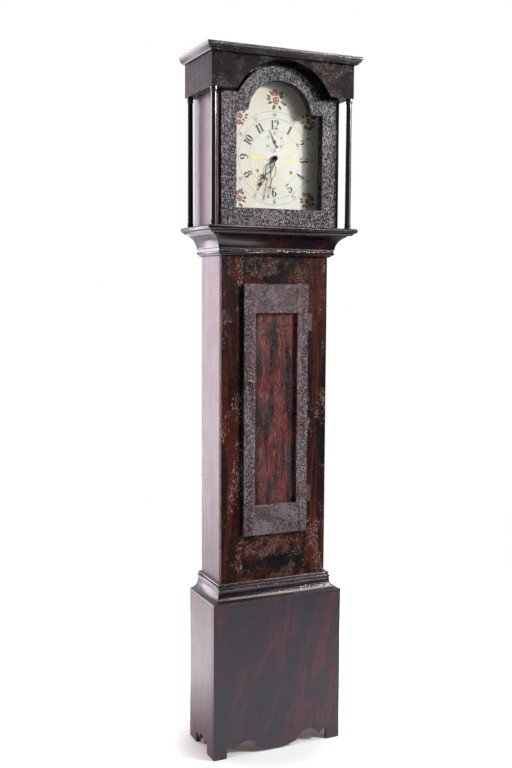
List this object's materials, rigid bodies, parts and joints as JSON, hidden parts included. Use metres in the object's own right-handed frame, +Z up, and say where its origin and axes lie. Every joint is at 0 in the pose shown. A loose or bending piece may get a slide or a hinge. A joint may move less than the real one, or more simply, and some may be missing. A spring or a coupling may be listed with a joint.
{
  "type": "grandfather clock",
  "caption": "Tall wooden longcase clock with glazed arched hood door, painted break-arch dial, slender columns, panelled waist door and a weight-driven pendulum movement.",
  "frame": {"origin": "on the floor, under the middle of the cornice, which is the widest and deepest part", "axes": "+Z up, +X to the right as one faces the clock, +Y towards the wall behind it"},
  "size_m": [0.502, 0.24, 2.13],
  "materials": {
    "grained_case": "gloss",
    "grained_door": "gloss",
    "grained_panel": "gloss",
    "ebonised_wood": "gloss",
    "bare_pine": "matte",
    "dial_paint": "satin",
    "window_glass": "gloss",
    "blued_steel": "satin",
    "clock_brass": "satin",
    "bell_metal": "polished",
    "bright_steel": "satin",
    "old_iron": "matte",
    "keyhole_brass": "polished",
    "gut": "matte"
  },
  "bodies": {
    "case": {"base_front": "grained_case", "base_sides": "grained_case", "base_bottom_board": "bare_pine", "glue_blocks": "bare_pine", "base_moulding": "grained_case", "waist_sides": "grained_case", "waist_front_frame": "grained_case", "waist_moulding": "grained_case", "backboard": "bare_pine", "seat_board": "bare_pine", "waist_hinge_case_leaves": "old_iron", "movement_back_plate": "clock_brass", "movement_front_plate": "clock_brass", "movement_pillars": "clock_brass", "dial": "dial_paint", "pendulum_cock": "clock_brass", "bell": "bell_metal", "bell_stand": "bright_steel", "going_line": "gut", "strike_line": "gut"},
    "hood": {"hood_sides": "grained_case", "hood_mask_frame": "grained_case", "hood_base_frame": "grained_case", "hood_base_moulding": "grained_case", "hood_columns": "ebonised_wood", "frieze_front": "grained_case", "frieze_sides": "grained_case", "hood_soffit": "grained_case", "cornice": "grained_case", "hood_top_board": "bare_pine"},
    "hood_door": {"hood_door_frame": "grained_door", "hood_door_pivots": "old_iron", "hood_door_glass": "window_glass"},
    "waist_door": {"waist_door_frame": "grained_door", "waist_door_panel": "grained_panel", "waist_door_escutcheon": "keyhole_brass", "waist_door_lock": "old_iron", "waist_hinge_door_leaves": "old_iron"},
    "lock_bolt": {"lock_bolt": "bright_steel"},
    "centre_arbor": {"centre_wheel": "clock_brass", "cannon_wheel": "clock_brass", "minute_hand": "blued_steel"},
    "third_arbor": {"third_wheel": "clock_brass"},
    "escape_arbor": {"escape_wheel": "clock_brass", "seconds_hand": "blued_steel"},
    "minute_wheel": {"minute_wheel": "clock_brass"},
    "hour_pipe": {"hour_wheel": "clock_brass", "hour_hand": "blued_steel"},
    "great_wheel": {"going_great_wheel": "clock_brass"},
    "going_barrel": {"going_barrel": "clock_brass"},
    "strike_barrel": {"strike_barrel": "clock_brass"},
    "going_weight": {"going_weight": "old_iron"},
    "going_pulley": {"going_pulley": "clock_brass"},
    "strike_weight": {"strike_weight": "old_iron"},
    "strike_pulley": {"strike_pulley": "clock_brass"},
    "anchor": {"anchor": "bright_steel"},
    "pendulum": {"pendulum_rod": "bright_steel", "pendulum_bob": "clock_brass", "rating_nut": "clock_brass"},
    "hammer": {"hammer": "bright_steel"}
  },
  "joints": [
    {"name": "hood_slide", "type": "slide", "parent": "case", "child": "hood", "axis": [0, -1, 0], "range_m": [0, 0.3]},
    {"name": "hood_door_hinge", "type": "hinge", "parent": "hood", "child": "hood_door", "pos_m": [0.187, -0.067, 1.8135], "axis": [0, 0, 1], "range_deg": [0, 105]},
    {"name": "waist_door_hinge", "type": "hinge", "parent": "case", "child": "waist_door", "pos_m": [0.1103, -0.047, 1.065], "axis": [0, 0, 1], "range_deg": [0, 110]},
    {"name": "lock_bolt_slide", "type": "slide", "parent": "waist_door", "child": "lock_bolt", "axis": [-1, 0, 0], "range_m": [0, 0.012]},
    {"name": "minute_turn", "type": "hinge", "parent": "case", "child": "centre_arbor", "pos_m": [0, 0.04, 1.826], "axis": [0, 1, 0], "continuous": true},
    {"name": "third_turn", "type": "hinge", "parent": "case", "child": "third_arbor", "pos_m": [0.01687, 0.04, 1.85366], "axis": [0, 1, 0], "continuous": true},
    {"name": "seconds_turn", "type": "hinge", "parent": "case", "child": "escape_arbor", "pos_m": [0, 0.04, 1.875], "axis": [0, 1, 0], "continuous": true},
    {"name": "minute_wheel_turn", "type": "hinge", "parent": "case", "child": "minute_wheel", "pos_m": [0.0126, 0.04, 1.80418], "axis": [0, 1, 0], "continuous": true},
    {"name": "hour_turn", "type": "hinge", "parent": "case", "child": "hour_pipe", "pos_m": [0, 0.04, 1.826], "axis": [0, 1, 0], "continuous": true},
    {"name": "great_wheel_turn", "type": "hinge", "parent": "case", "child": "great_wheel", "pos_m": [0.056, 0.04, 1.787], "axis": [0, 1, 0], "continuous": true},
    {"name": "going_weight_slide", "type": "slide", "parent": "case", "child": "going_weight", "axis": [0, 0, 1], "range_m": [-0.75, 0.14], "deforming": ["going_line"]},
    {"name": "going_barrel_turn", "type": "hinge", "parent": "case", "child": "going_barrel", "pos_m": [0.056, 0.04, 1.787], "axis": [0, 1, 0], "range_deg": [-3399, 637]},
    {"name": "going_pulley_turn", "type": "hinge", "parent": "going_weight", "child": "going_pulley", "pos_m": [0.056, 0.038, 1.5], "axis": [0, 1, 0], "range_deg": [-1701, 320]},
    {"name": "strike_weight_slide", "type": "slide", "parent": "case", "child": "strike_weight", "axis": [0, 0, 1], "range_m": [-0.75, 0.14], "deforming": ["strike_line"]},
    {"name": "strike_barrel_turn", "type": "hinge", "parent": "case", "child": "strike_barrel", "pos_m": [-0.056, 0.04, 1.787], "axis": [0, 1, 0], "range_deg": [-3399, 637]},
    {"name": "strike_pulley_turn", "type": "hinge", "parent": "strike_weight", "child": "strike_pulley", "pos_m": [-0.056, 0.038, 1.5], "axis": [0, 1, 0], "range_deg": [-1701, 320]},
    {"name": "pendulum_swing", "type": "hinge", "parent": "case", "child": "pendulum", "pos_m": [0, 0.088, 1.91036], "axis": [0, 1, 0], "range_deg": [-3, 3]},
    {"name": "anchor_rock", "type": "hinge", "parent": "case", "child": "anchor", "pos_m": [0, 0.06, 1.91036], "axis": [0, 1, 0], "range_deg": [-3, 3]},
    {"name": "hammer_swing", "type": "hinge", "parent": "case", "child": "hammer", "pos_m": [-0.058, 0.042, 1.89], "axis": [0, -1, 0], "range_deg": [0, 14], "stiffness_Nm_per_rad": 0.15, "springref_deg": -17.19}
  ],
  "couplings": [
    {"joint": "third_turn", "follows": "minute_turn", "ratio": -8},
    {"joint": "seconds_turn", "follows": "minute_turn", "ratio": 60},
    {"joint": "minute_wheel_turn", "follows": "minute_turn", "ratio": -1},
    {"joint": "hour_turn", "follows": "minute_turn", "ratio": 0.083333},
    {"joint": "great_wheel_turn", "follows": "minute_turn", "ratio": -0.083333},
    {"joint": "going_barrel_turn", "follows": "going_weight_slide", "rad_per_m": 79.051},
    {"joint": "going_pulley_turn", "follows": "going_weight_slide", "rad_per_m": 39.526},
    {"joint": "strike_barrel_turn", "follows": "strike_weight_slide", "rad_per_m": 79.051},
    {"joint": "strike_pulley_turn", "follows": "strike_weight_slide", "rad_per_m": 39.526},
    {"joint": "anchor_rock", "follows": "pendulum_swing", "ratio": 1}
  ]
}
